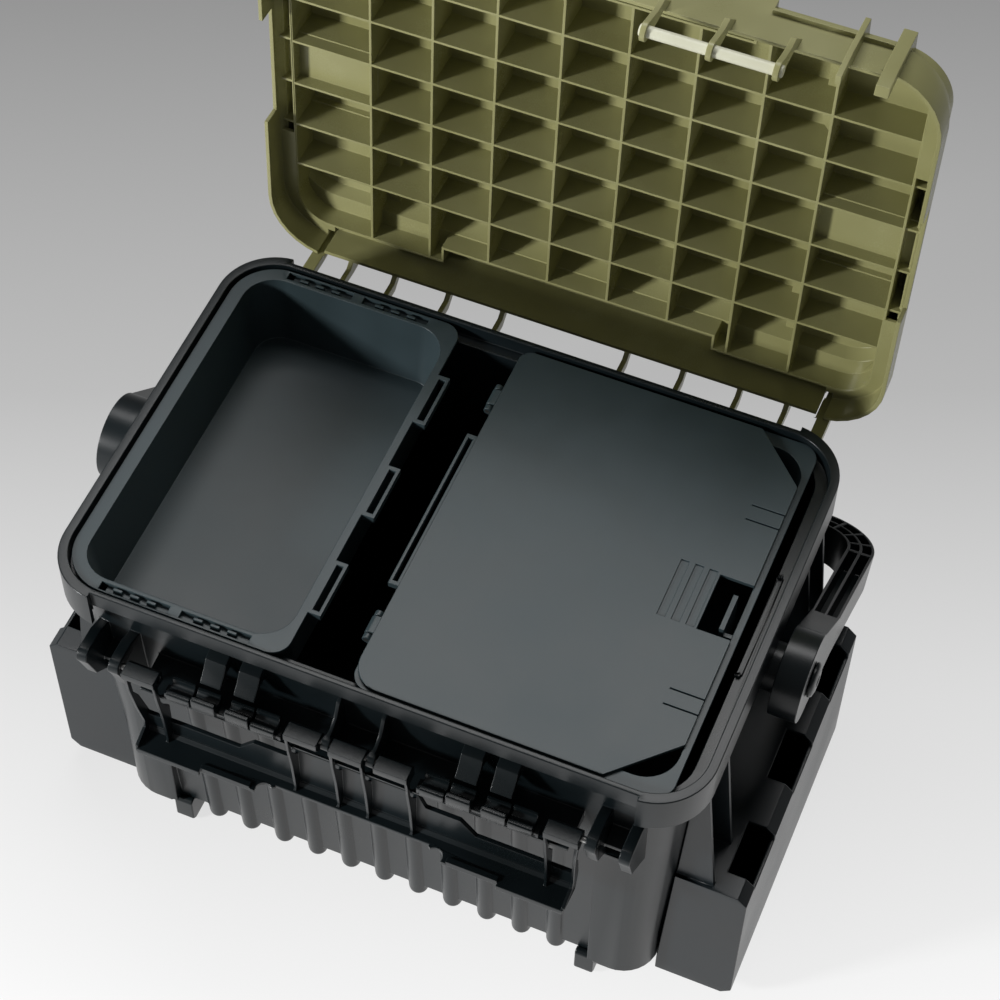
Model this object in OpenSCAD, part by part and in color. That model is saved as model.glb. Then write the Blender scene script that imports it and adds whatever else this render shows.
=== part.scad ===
// Large moulded fishing tackle box that opens from the front or the rear.
// A deep tub carries rod stands on both sides, a swing handle, a release lever on
// each long side and two lift-out trays, one with a hinged cover. The ribbed lid is
// drawn open, leaning back on its rear hinge rods. Millimetres, +Z up, front at -Y. The
// modules are drawn about the middle of the tub; placed() then moves them so that the
// origin is on the floor under the middle of the box with its lid open.

/* [Overall] */
// Width over the flange of the tub
rim_w = 413.6; // [404:0.4:424]
// Depth over the flange of the tub
rim_d = 284; // [276:1:292]
// Height of the flange above the floor
rim_z = 277; // [268:1:290]
// Corner radius of the flange
rim_r = 38; // [34:1:42]
// Angle the lid leans open, from closed
lid_angle = 92.9; // [91:0.1:96]

/* [Tub] */
// Width of the flat top of the flange
flange_w = 5.8; // [5:0.2:7]
// Height of the flange band on the sides and corners
band_h = 29; // [26:1:31]
// Thickness of the flange band
band_t = 3.4; // [2.6:0.2:3.8]
// Distance from the tub's side to the cut-back stretch of the front and rear rim
cut_in = 34.8; // [32:0.2:36]
// How far the front and rear lips stand in from the flange
lip_set = 3.5; // [3:0.5:5]
// Thickness of the front and rear lips
lip_t = 3.5; // [2.5:0.5:4.5]
// Height of the front and rear lips
lip_h = 17; // [15:1:20]
// Width of the tray ledge on the left and right
ledge_w = 8; // [7:0.5:9]
// Width of the tray ledge on the front and rear
ledge_d = 7.5; // [6.5:0.5:8.5]
// Depth of the tray ledge below the rim
ledge_drop = 10; // [9:0.5:12]
// Thickness of the tub wall
tub_wall = 3; // [2.4:0.2:3.6]
// Height of the tub's underside above the floor
tub_lift = 10; // [8:1:14]
// Taper of each side wall, from ledge to foot
taper_x = 10; // [8:1:12]
// Taper of the front and rear walls, from ledge to foot
taper_y = 12.5; // [10:0.5:14]
// Inset of the rounded bottom edge
bilge = 10; // [8:1:12]
// Height of the rounded bottom edge
bilge_h = 14; // [12:1:18]
// Radius of the wall ribs
rib_r = 6.5; // [5:0.5:7.5]
// Height of the wall ribs
rib_h = 148; // [120:2:170]
// How far the wall ribs stand proud of the wall
rib_out = 3; // [2:0.5:4]
// Spacing of the wall ribs
rib_pitch = 24.2; // [22:0.2:25]
// Height of the corner pilasters' tops above the floor
pilaster_top = 165; // [150:1:175]

/* [Feet] */
// Distance of each foot's middle from the tub's side
foot_in = 42.6; // [38:0.2:48]
// Width of a foot
foot_w = 13; // [10:1:18]
// Length of a foot under the tub
foot_l = 36; // [28:1:50]
// How far a foot stands forward of the wall
foot_out = 5; // [3:1:7]

/* [Hinge and latch] */
// Distance of each hinge line from the middle
hinge_y = 152.5; // [150:0.5:155]
// Height of the hinge lines below the rim
hinge_drop = 45; // [43:1:47]
// Radius of the hinge rods
rod_r = 3.5; // [2.5:0.1:4]
// Running clearance round a rod or pin
run_gap = 0.06; // [0.04:0.01:0.09]
// End clearance between a hinge rod and the lever's pads
rod_space = 0.7; // [0.5:0.1:1]
// Length of each hinge rod that stands out past the saddles
saddle_end = 6.3; // [5.6:0.1:7]
// Slit between two saddles of a pair
saddle_slit = 1.2; // [0.8:0.1:2]
// Opening between the saddles for the lid's middle arm
arm_slot = 6.6; // [6:0.1:8]
// How far the saddles reach out past the hinge line
saddle_out = 6.5; // [6:0.5:7]
// Wall left under a hinge rod
saddle_floor = 4; // [3.5:0.5:5]
// Depth of the saddles' shelf below the hinge line
shelf_drop = 16; // [15:0.5:18]
// Clearance between the lever and the lugs beside it
ear_space = 3; // [2:0.5:4]
// Thickness of a lug
ear_w = 7; // [5:0.5:8]
// Clear space between the two lugs of a pair
ear_gap = 14; // [12:1:16]
// Depth of a lug's gusset below the hinge line
ear_drop = 48; // [40:1:56]
// Radius of a lug's rounded nose
ear_r = 6; // [5.5:0.5:7]

/* [Release levers] */
// Distance from the end of the rim's cut-back to the lever's end pads
lever_in = 26.5; // [25:0.5:30]
// Depth of the lever below the hinge line
lever_h = 74; // [66:1:76]
// Thickness of the lever's plates
lever_t = 3; // [2.4:0.2:3.4]
// How far the middle of the lever's plate stands in from the hinge line
lever_set = 6.5; // [5.5:0.5:7]
// How far the lever's lip stands out from the hinge line
lip_out = 13; // [11:0.5:14]
// Height of the lever's plate at its ends
plate_h = 18; // [14:1:22]
// Height of each step of the lever's plate towards the middle
plate_step = 12; // [10:1:13]
// How far the lever narrows from its end pads down to its lip
waist_in = 4; // [2:0.5:6]
// Thickness of the lever's fins
fin_t = 2; // [1.6:0.2:2.6]
// Height of the lever's pads above the hinge line
pad_up = 4.7; // [4:0.1:5.2]
// How far a pad stands out from the hinge line
pad_out = 7.5; // [7:0.5:8.5]
// Width of a lever pad
pad_w = 21.4; // [18:0.2:21.6]
// Gap between the centre pad and the pads beside it
pad_gap = 7.4; // [7:0.2:9]
// Side clearance of the tub's knuckles between the pads
knuckle_space = 1; // [0.6:0.1:1.2]
// Radius of a lever pivot pin
pivot_r = 2; // [1.5:0.1:2.4]
// How far a pivot pin reaches into the lever
pivot_in = 14; // [10:1:18]

/* [Lid] */
// Height of the lid's top above the rim
lid_h = 33; // [30:1:37]
// Depth the lid's skirt laps down below the rim
skirt_lap = 15; // [12:1:17]
// Thickness of the lid's walls
lid_wall = 2.6; // [2:0.2:3]
// Side clearance between flange and skirt
skirt_gap = 1.4; // [1.2:0.2:2]
// Front and rear clearance between flange and skirt
skirt_gap_y = 2.4; // [2.2:0.2:3]
// Draw-in of the lid's left and right sides at the top
lid_draft = 11; // [9:1:13]
// Distance of the lid's top from its front and rear sides
crown_in = 30; // [28:1:34]
// Depth of the step along the front and rear of the lid, below its top
step_drop = 13; // [11:1:15]
// Depth of the ledge over the hinges, below the lid's top
shoulder_drop = 23.4; // [22:0.2:24]
// Depth of the lid's lowered corners, below its top
corner_drop = 4.4; // [3:0.2:6]
// Height of the ribs' free edges above the rim
lattice_up = 3; // [2:0.5:4]
// Thickness of the lid's ribs
lattice_t = 1.8; // [1.4:0.2:2.2]
// Rib spacing across the lid
lattice_x = 41.3; // [40:0.1:42]
// Rib spacing from front to rear
lattice_y = 34.8; // [34:0.1:36]
// Rib lines across the lid
lattice_nx = 8; // [7:1:9]
// Rib lines from front to rear
lattice_ny = 6; // [5:1:7]
// Inset of the rib field from the lid's left and right sides
field_in_x = 11.9; // [11:0.1:13]
// Inset of the rib field from the lid's front and rear sides
field_in_y = 10.8; // [10:0.2:12]
// Half width of the set-back middle of the rib field
notch_half = 93; // [85:1:96]
// Depth of that set-back
notch_in = 12.2; // [10:0.2:14]
// Half length of the open channels beside the rib field
channel_y = 60; // [54:1:70]
// Clearance between the rim's lip and the lid's hinge wall
wall_gap = 2.5; // [2.2:0.1:3]
// Half width of the hinge wall's tall middle stretch
tall_half = 100; // [96:1:104]
// Clearance between the hinge wall's ends and the flange
wall_side = 0.8; // [0.4:0.1:1.5]
// Width of the slits beside the hinge wall
slit_w = 5; // [4:0.5:6]
// Thickness of a hinge arm
arm_t = 3.4; // [2.6:0.2:4]
// Radius of a hinge arm's eye
arm_r = 6; // [5.5:0.5:7]

/* [Rod stands] */
// How far a rod stand stands out from the foot of the tub
stand_out = 51.5; // [48:0.5:54]
// Half depth of a rod stand
stand_half = 106; // [104:1:112]
// Height of a rod stand's top above the floor
stand_top = 138; // [120:1:142]
// Thickness of a rod stand's walls
stand_wall = 2.6; // [2:0.2:3.2]
// Length of a rod slot
slot_l = 38; // [30:1:44]
// Width of a rod slot
slot_w = 18; // [14:1:20]
// Spacing of the rod slots
slot_pitch = 71.5; // [66:0.5:74]
// Edge chamfer of a rod stand
stand_edge = 6; // [4:1:8]
// Seat gap behind a bolted part
seat_gap = 0.2; // [0.1:0.05:0.3]
// Radius of the small screws
screw_r = 2; // [1.5:0.1:2.4]

/* [Handle] */
// Height of the handle pivot below the rim
pivot_drop = 45; // [43:1:48]
// Reach of the handle from pivot to grip
handle_reach = 195; // [190:1:204]
// Angle of the folded handle below level
handle_fold = 30; // [26:1:34]
// Side clearance between the flange and a handle arm
handle_gap = 6.4; // [5.6:0.2:7.2]
// Thickness of a handle arm
handle_t = 18; // [16:0.5:18.5]
// Depth of the grip along the reach
grip_d = 20; // [18:1:22]
// Height of the arms and grip
grip_h = 26; // [22:1:28]
// Outer corner radius of the handle
handle_r = 42; // [36:1:48]
// Radius of the handle's round ends
boss_r = 28; // [24:1:29]
// Wall between the cells of the handle
cell_wall = 2; // [1.6:0.2:2.4]
// Depth of the cells of the handle
cell_deep = 15; // [10:1:18]
// Radius of the handle's pivot stud
stud_r = 6; // [5:0.5:8]
// Radius of the pivot cap
cap_r = 11; // [9:1:14]
// Half length of the handle bracket
bracket_half = 46; // [42:1:50]
// Half spacing of the bracket screws
bracket_screw = 37; // [34:1:40]
// Thickness of the handle bracket
bracket_t = 5; // [4:0.5:6]

/* [Trays] */
// Clearance between a tray's rim and the tub
tray_gap = 1.5; // [1:0.25:2.5]
// Depth of the rims' tops below the tub's rim
tray_drop = 2; // [1.5:0.5:3]
// Depth of the tray basins below the rim of the tub
tray_depth = 55; // [45:1:70]
// Thickness of the tray walls
tray_wall = 1.8; // [1.4:0.2:2.4]
// Width of the parts tray
tray_w = 149.5; // [138:0.5:152]
// Gap between the two trays
tray_space = 33.5; // [28:0.5:40]
// Gap between the covered tray and the tub's right side
box_gap = 11.5; // [9.5:0.5:14]
// Distance of the parts tray's pockets from its ends
pocket_in = 48.5; // [46:0.5:52]
// Thickness of the tray cover
cover_t = 2.5; // [2:0.1:3]
// Distance of the cover's hinge line from the tray's left edge
cover_hinge = 4.6; // [4.2:0.2:5.4]
// Radius of the cover's hinge knuckles
knuckle_r = 3; // [2.8:0.1:3.4]
// Radius of the cover's hinge pins
cover_pin_r = 1.4; // [1.2:0.1:1.6]
// Length of the loops on the parts tray
loop_l = 40; // [30:1:44]
// Spacing of the loops on the parts tray
loop_pitch = 76; // [66:1:80]

/* [Hidden] */
$fn = 48;
round_fn = 32;
eps = 0.01;
far = 400;

black = [0.16, 0.19, 0.19];
slate = [0.24, 0.27, 0.27];
olive = [0.47, 0.48, 0.26];
cream = [0.80, 0.79, 0.68];
steel = [0.62, 0.63, 0.64];

// Tub opening, tray ledge and well
open_w = rim_w - 2 * flange_w;
open_d = rim_d - 2 * (lip_set + lip_t);
well_w = open_w - 2 * ledge_w;
well_d = open_d - 2 * ledge_d;
open_r = rim_r - flange_w;
well_r = open_r - ledge_w;
ledge_z = rim_z - ledge_drop;
ledge_t = tub_wall;
shell_top = ledge_z - ledge_t;
shell_w = well_w + 2 * tub_wall;
shell_d = well_d + 2 * tub_wall;
foot_z = tub_lift + bilge_h;
cut_half = rim_w / 2 - cut_in;
slope_x = taper_x / (ledge_z - foot_z);
slope_y = taper_y / (ledge_z - foot_z);
tilt_x = atan(slope_x);
tilt_y = atan(slope_y);

// Half width and half depth of the tub's outer wall at a height
function side_x(z) = shell_w / 2 - (ledge_z - max(z, foot_z)) * slope_x;
function wall_y(z) = shell_d / 2 - (ledge_z - max(z, foot_z)) * slope_y;

hinge_z = rim_z - hinge_drop;
trough_r = rod_r + run_gap;
eye_bore = rod_r + run_gap / 2;
foot_x = side_x(foot_z) - foot_in;
rib_n = floor((foot_x - foot_w / 2 - rib_r - 1) / rib_pitch);

// Lever, hinge rods and saddles, from the end of the cut-back inwards
lever_half = cut_half - lever_in;
ear_x = lever_half + ear_space;
pad_end = lever_half - pad_w / 2;
pad_mid = pad_w + pad_gap;
rod_in = pad_mid + pad_w / 2 + rod_space;
rod_out = lever_half - pad_w - rod_space;
rod_mid = (rod_in + rod_out) / 2;
saddle_w = (rod_out - rod_in - 2 * saddle_end - 2 * saddle_slit - arm_slot) / 4;
saddle_xs = [rod_in + saddle_end, rod_in + saddle_end + saddle_w + saddle_slit,
    rod_mid + arm_slot / 2, rod_mid + arm_slot / 2 + saddle_w + saddle_slit];
arm_xs = [rod_in + saddle_end / 2, rod_mid, rod_out - saddle_end / 2];
plate_y = hinge_y - lever_set;
lever_low = hinge_z - lever_h;

// Lid heights are those of the closed lid
skirt_z = rim_z - skirt_lap;
lattice_z = rim_z + lattice_up;
lid_top = rim_z + lid_h;
lid_w = rim_w + 2 * (skirt_gap + lid_wall);
lid_d = rim_d + 2 * (skirt_gap_y + lid_wall);
lid_r = rim_r + skirt_gap + lid_wall;
step_z = lid_top - step_drop;
shoulder_z = lid_top - shoulder_drop;
corner_z = lid_top - corner_drop;
hinge_wall_y = rim_d / 2 - lip_set + wall_gap;
hinge_face_y = hinge_wall_y + lid_wall;
hinge_half = cut_half - wall_side;
x_recess = (lattice_nx - 1) / 2 * lattice_x + lattice_t / 2;
y_recess = (lattice_y - lattice_t) / 2;
recess_z = lid_top - 19;
field_x = lid_w / 2 - field_in_x;
field_y = lid_d / 2 - field_in_y;

// The open box reaches from the front lever's lip to the top of the leaning lid
lean = lid_angle - 90;
rear_reach = hinge_y + (lid_top - hinge_z) * cos(lean) + (hinge_y + lid_d / 2 - crown_in) * sin(lean);
mid_y = (rear_reach - hinge_y - lip_out) / 2;

// The covered tray and its cover
tray_z = rim_z - tray_drop;
tray_floor_z = rim_z - tray_depth;
tray_front = open_d / 2 - tray_gap;
tray_left = -(open_w / 2 - tray_gap - 0.5);
rest_z = ledge_z + 0.3;
basin_gap = 1.5;
tray_right = tray_left + tray_w;
box_left = tray_right + tray_space;
box_right = open_w / 2 - tray_gap - box_gap;
basin_r = well_r - basin_gap;
box_rim_z = tray_z - cover_t - 0.2;
cover_x = box_left + cover_hinge;
cover_z = box_rim_z - 0.7;
knuckle_ys = [-91, 91];

pivot_z = rim_z - pivot_drop;
handle_in = rim_w / 2 + handle_gap;
handle_out = handle_in + handle_t;
pad_face = side_x(ledge_z) + 0.8;
bracket_face = pad_face + bracket_t;
bracket_z = 17;

module rounded(w, d, r) {
    square([w - 2 * r, d], center = true);
    square([w, d - 2 * r], center = true);
    for (x = [-1, 1], y = [-1, 1]) translate([x * (w / 2 - r), y * (d / 2 - r)]) circle(r);
}

module slab(w, d, r, z0, z1) {
    translate([0, 0, z0]) linear_extrude(z1 - z0) rounded(w, d, r);
}

// A box between two corners
module span(a, b) {
    translate(a) cube(b - a);
}

// An outline given as [y, z], drawn out along X
module along_x(x0, x1) {
    translate([x0, 0, 0]) rotate([90, 0, 90]) linear_extrude(x1 - x0) children();
}

// An outline given as [x, z], drawn out along Y
module along_y(y0, y1) {
    translate([0, y1, 0]) rotate([90, 0, 0]) linear_extrude(y1 - y0) children();
}

module rod_x(x0, x1, r, y, z) {
    translate([x0, y, z]) rotate([0, 90, 0]) cylinder(h = x1 - x0, r = r);
}

module rod_y(y0, y1, r, x, z) {
    translate([x, y0, z]) rotate([-90, 0, 0]) cylinder(h = y1 - y0, r = r);
}

module both_x() {
    children();
    mirror([1, 0, 0]) children();
}

module both_y() {
    children();
    mirror([0, 1, 0]) children();
}

module tub_outside() {
    $fn = round_fn;
    hull() {
        slab(shell_w - 2 * taper_x - 2 * bilge, shell_d - 2 * taper_y - 2 * bilge, well_r - 6, tub_lift, tub_lift + 1);
        slab(shell_w - 2 * taper_x, shell_d - 2 * taper_y, well_r - 2, foot_z, foot_z + eps);
        slab(shell_w, shell_d, well_r + tub_wall, ledge_z - eps, ledge_z);
    }
}

module tub_inside() {
    $fn = round_fn;
    hull() {
        slab(well_w - 2 * taper_x - 2 * bilge, well_d - 2 * taper_y - 2 * bilge, well_r - 8,
            tub_lift + tub_wall, tub_lift + tub_wall + 1);
        slab(well_w - 2 * taper_x, well_d - 2 * taper_y, well_r - 4, foot_z, foot_z + eps);
        slab(well_w, well_d, well_r, ledge_z, ledge_z + 1);
    }
}

module tub_rim() {
    difference() {
        union() {
            slab(rim_w, rim_d, rim_r, rim_z - band_h, rim_z);
            both_y() span([-cut_half, rim_d / 2 - lip_set - lip_t - 4, rim_z - lip_h], [cut_half, rim_d / 2 - lip_set, rim_z]);
        }
        // front and rear cut-backs, down to the thin lips
        both_y() {
            span([-cut_half, rim_d / 2 - lip_set, 0], [cut_half, far, far]);
            span([-cut_half, shell_d / 2 - 2, 0], [cut_half, far, rim_z - lip_h]);
        }
        // the opening above the ledge, and the hollow under it
        slab(open_w, open_d, open_r, ledge_z, rim_z + 1);
        slab(rim_w - 2 * band_t, rim_d - 2 * band_t, rim_r - band_t, 0, shell_top);
        slab(well_w, well_d, well_r, 0, rim_z);
    }
}

module wall_ribs() {
    for (i = [-rib_n:rib_n]) translate([i * rib_pitch, shell_d / 2 - taper_y + rib_out - rib_r, foot_z])
        rotate([-tilt_y, 0, 0]) {
            translate([0, 0, -bilge_h / 2]) cylinder(h = rib_h, r = rib_r, $fn = round_fn);
            translate([0, 0, -bilge_h / 2]) sphere(r = rib_r, $fn = round_fn);
        }
}

// Thick flat corners that run down the front and rear walls
module pilasters() {
    w = shell_w - 2 * taper_x;
    d = 2 * wall_y(pilaster_top);
    difference() {
        hull() {
            slab(w - 2 * bilge, d - 2 * bilge, well_r - 6, tub_lift, tub_lift + 1, $fn = round_fn);
            slab(w, d, well_r, foot_z, pilaster_top, $fn = round_fn);
        }
        span([-ear_x + 2.5, -far, 0], [ear_x - 2.5, far, far]);
        both_x() span([0, -far, 0], [foot_x + foot_w / 2 + 0.1, far, foot_z + 1]);
    }
}

// Outlines beside the hinge line are given from the hinge line, as [out, up]
module at_hinge(x0, x1) {
    along_x(x0, x1) translate([hinge_y, hinge_z]) children();
}

module saddles() {
    wall = wall_y(hinge_z) - 1 - hinge_y;
    floor_z = -rod_r - saddle_floor;
    for (i = [0:3]) {
        tall = i == 1 || i == 2;
        front = tall ? 2 : -1.3;
        at_hinge(saddle_xs[i], saddle_xs[i] + saddle_w) polygon([
            [-5.5, tall ? -1 : 0.6], [-5.5, floor_z], [-3, -shelf_drop - 0.5], [1, -shelf_drop - 0.5], [3.5, floor_z - 4],
            [saddle_out, floor_z], [saddle_out, front - 0.8], [saddle_out - 0.8, front], [0, front], [-3, tall ? -1 : 0.6]]);
    }
    // rail under the saddles, and the long shelf they stand on
    at_hinge(rod_in + saddle_end / 2, rod_out - saddle_end / 2)
        polygon([[-4, floor_z - 5], [3.5, floor_z - 5], [3.5, floor_z], [-4, floor_z]]);
    at_hinge(-1, pad_end + 3)
        polygon([[wall, -shelf_drop - 9], [-8, -shelf_drop - 3.6], [1.5, -shelf_drop - 3], [1.5, -shelf_drop], [wall, -shelf_drop + 2]]);
    // curved fingers that run down from the wall behind the two inner saddles
    for (i = [1, 2]) at_hinge(saddle_xs[i] + 0.8, saddle_xs[i] + saddle_w - 0.8)
        polygon([[wall, 20], [-15, 17], [-11, 10.5], [-6.4, 6], [-5.4, 4.6], [-6, 3], [-8, 3], [-12.5, 7], [-16, 9], [wall, 9]]);
}

module saddle_troughs() {
    x0 = saddle_xs[0] - 1;
    x1 = saddle_xs[3] + saddle_w + 1;
    rod_x(x0, x1, trough_r, hinge_y, hinge_z);
    span([x0, hinge_y - trough_r, hinge_z], [x1, hinge_y + trough_r, hinge_z + 20]);
}

// Knuckles between the lever's middle pads, on curved fins from the wall
module lever_knuckles() {
    wall = wall_y(hinge_z) - 1 - hinge_y;
    x0 = pad_w / 2 + knuckle_space;
    x1 = pad_w / 2 + pad_gap - knuckle_space;
    rod_x(x0, x1, 4.7, hinge_y, hinge_z);
    at_hinge(x0 + 1.5, x1 - 1.5)
        polygon([[wall, 22], [-17, 19], [-12, 9], [-6, 5.2], [0, 4.7], [4.7, 0], [2, -4.2], [-6, -shelf_drop + 2], [wall, -shelf_drop + 2]]);
}

module ears() {
    for (x = [ear_x, ear_x + ear_w + ear_gap]) {
        at_hinge(x, x + ear_w) polygon([
            [wall_y(hinge_z - ear_drop) - 1 - hinge_y, -ear_drop], [-2, -ear_drop / 2], [ear_r, 0],
            [0, ear_r], [-14, ear_r], [wall_y(hinge_z) - 1 - hinge_y, 2]]);
        rod_x(x, x + ear_w, ear_r, hinge_y, hinge_z);
    }
    // web between the lugs, and a ledge across their feet
    at_hinge(ear_x + 1, ear_x + ear_w + ear_gap + 1) {
        polygon([[wall_y(hinge_z - 34) - 1 - hinge_y, -34], [-12, -22], [-12, -19], [wall_y(hinge_z) - 1 - hinge_y, -16]]);
        polygon([[wall_y(hinge_z - ear_drop) - 1 - hinge_y, -ear_drop + 4], [-15, -ear_drop + 8], [-15, -ear_drop + 11],
            [wall_y(hinge_z - ear_drop) - 1 - hinge_y, -ear_drop + 13]]);
    }
}

module handle_pad() {
    span([side_x(pivot_z - bracket_z) - tub_wall / 2, -bracket_half - 4, pivot_z - bracket_z - 4],
        [pad_face, bracket_half + 4, rim_z - band_h + 0.5]);
}

module screw_bores() {
    for (y = [-bracket_screw, bracket_screw]) rod_x(0, far, screw_r + run_gap / 2, y, pivot_z);
    stand_screws_at() cylinder(h = 30, r = screw_r + run_gap / 2, center = true);
}

module tub() {
    color(black) difference() {
        union() {
            difference() {
                tub_outside();
                tub_inside();
            }
            tub_rim();
            difference() {
                union() {
                    both_y() wall_ribs();
                    both_y() both_x() saddles();
                    both_y() both_x() lever_knuckles();
                    both_y() both_x() ears();
                    pilasters();
                    both_x() handle_pad();
                }
                tub_inside();
            }
            // posts on the side ledges that locate the trays
            both_x() for (y = [-bracket_screw, bracket_screw])
                translate([well_w / 2 + 2.2, y, ledge_z - 1]) cylinder(h = 3, r = 1.6, $fn = round_fn);
            // small guides in the four corners of the ledge
            both_x() both_y() span([well_w / 2 - 14, well_d / 2 + 0.6, ledge_z - 1], [well_w / 2 - 6, open_d / 2 - 1, ledge_z + 1.6]);
        }
        both_y() both_x() saddle_troughs();
        both_y() both_x() rod_x(ear_x - 1, ear_x + ear_w + 1, pivot_r + run_gap / 2, hinge_y, hinge_z);
        both_y() rod_x(-pad_mid, pad_mid, pivot_r + run_gap / 2, hinge_y, hinge_z);
        both_x() screw_bores();
    }
}

module feet() {
    y1 = wall_y(foot_z);
    color(black) both_x() both_y() along_x(foot_x - foot_w / 2, foot_x + foot_w / 2) polygon([
        [y1 - foot_l, 0], [y1 + foot_out - 3, 0], [y1 + foot_out, 3], [y1 + foot_out, foot_z - 2], [y1 + foot_out - 2, foot_z],
        [y1 + 0.1, foot_z], [y1 - bilge + 0.1, tub_lift], [y1 - foot_l, tub_lift]]);
}

// Screws that hold a rod stand, square to the tub's sloping side
module stand_screws_at() {
    for (y = [-stand_half + 12, stand_half - 12], z = [stand_top + 24, rim_z - band_h - 18])
        translate([side_x(z) + seat_gap + stand_wall, y, z]) rotate([0, 90 + tilt_x, 0]) children();
}

module right_stand() {
    back0 = side_x(foot_z) + seat_gap;
    back1 = side_x(stand_top) + seat_gap;
    top_z = rim_z - band_h - 1.5;
    back2 = side_x(top_z) + seat_gap;
    face = side_x(foot_z) + stand_out;
    e = stand_edge;
    difference() {
        union() {
            along_y(-stand_half, stand_half) polygon([[back0, tub_lift], [face - e, tub_lift], [face, tub_lift + e],
                [face, stand_top - e], [face - e, stand_top], [back1, stand_top], [back0, foot_z]]);
            // back plate that reaches up under the flange
            along_y(-stand_half + 3, stand_half - 3) polygon([[back1, stand_top - 1], [back1 + stand_wall, stand_top - 1],
                [back2 + stand_wall, top_z], [back2, top_z]]);
            // gussets from the back plate to the top
            for (y = [-stand_half + 3, -stand_half + 34, stand_half - 34, stand_half - 6]) along_y(y, y + 3) polygon([
                [back1 + 1, stand_top - 1], [back1 + 24, stand_top - 1], [back2 + 8, top_z], [back2 + 1, top_z]]);
        }
        // three wells under the rod slots
        for (i = [-1:1]) {
            along_y(i * slot_pitch - slot_pitch / 2 + stand_wall / 2, i * slot_pitch + slot_pitch / 2 - stand_wall / 2)
                polygon([[back0 + stand_wall, tub_lift + stand_wall], [face - e, tub_lift + stand_wall],
                    [face - stand_wall, tub_lift + e], [face - stand_wall, stand_top - e - 1],
                    [face - e - 1, stand_top - stand_wall], [back1 + stand_wall, stand_top - stand_wall],
                    [back0 + stand_wall, foot_z]]);
            span([face - slot_w, i * slot_pitch - slot_l / 2, stand_top - 2 * e + 2], [face + 1, i * slot_pitch + slot_l / 2, stand_top + 1]);
        }
        // room for the handle bracket
        span([0, -bracket_half - 6, pivot_z - bracket_z - 8], [far, bracket_half + 6, rim_z]);
        stand_screws_at() cylinder(h = 30, r = screw_r + run_gap / 2, center = true);
    }
}

module right_rod_stand() {
    color(slate) right_stand();
}

module left_rod_stand() {
    color(slate) mirror([1, 0, 0]) right_stand();
}

module pan_screw(grip) {
    translate([0, 0, -grip]) cylinder(h = grip + 0.5, r = screw_r);
    translate([0, 0, run_gap]) cylinder(h = 1.6, r = 2 * screw_r);
    translate([0, 0, 1.6 + run_gap]) cylinder(h = 0.8, r1 = 2 * screw_r, r2 = 1.4 * screw_r);
}

module rod_stand_screws() {
    color(steel) both_x() stand_screws_at() pan_screw(stand_wall + tub_wall + 2);
}

module right_bracket() {
    difference() {
        union() {
            translate([pad_face, 0, pivot_z]) rotate([90, 0, 90]) linear_extrude(bracket_t)
                rounded(2 * bracket_half, 2 * bracket_z, 8);
            rod_x(bracket_face - 1, handle_in - 0.4, 2.6 * stud_r, 0, pivot_z);
            rod_x(handle_in - 1, handle_out + 0.4, stud_r, 0, pivot_z);
        }
        for (y = [-bracket_screw, bracket_screw]) rod_x(0, far, screw_r + run_gap / 2, y, pivot_z);
        rod_x(handle_out - 13, handle_out + 2, screw_r + run_gap / 2, 0, pivot_z);
    }
}

module right_handle_bracket() {
    color(black) right_bracket();
}

module left_handle_bracket() {
    color(black) mirror([1, 0, 0]) right_bracket();
}

module bracket_screws() {
    color(steel) both_x() for (y = [-bracket_screw, bracket_screw])
        translate([bracket_face, y, pivot_z]) rotate([0, 90, 0]) pan_screw(bracket_t + tub_wall + 4);
}

// Cap with its own screw stem, which keeps the handle on the stud
module right_cap() {
    translate([handle_out + 0.4, 0, pivot_z]) rotate([0, 90, 0]) {
        rotate_extrude() polygon([[0, -12], [screw_r, -12], [screw_r, 0], [cap_r, 0], [cap_r, 1.6], [cap_r - 1, 2.8],
            [cap_r - 4, 3.6], [4, 3.6], [3, 2.6], [0, 2.6]]);
    }
}

module right_pivot_cap() {
    color(black) right_cap();
}

module left_pivot_cap() {
    color(black) mirror([1, 0, 0]) right_cap();
}

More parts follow.
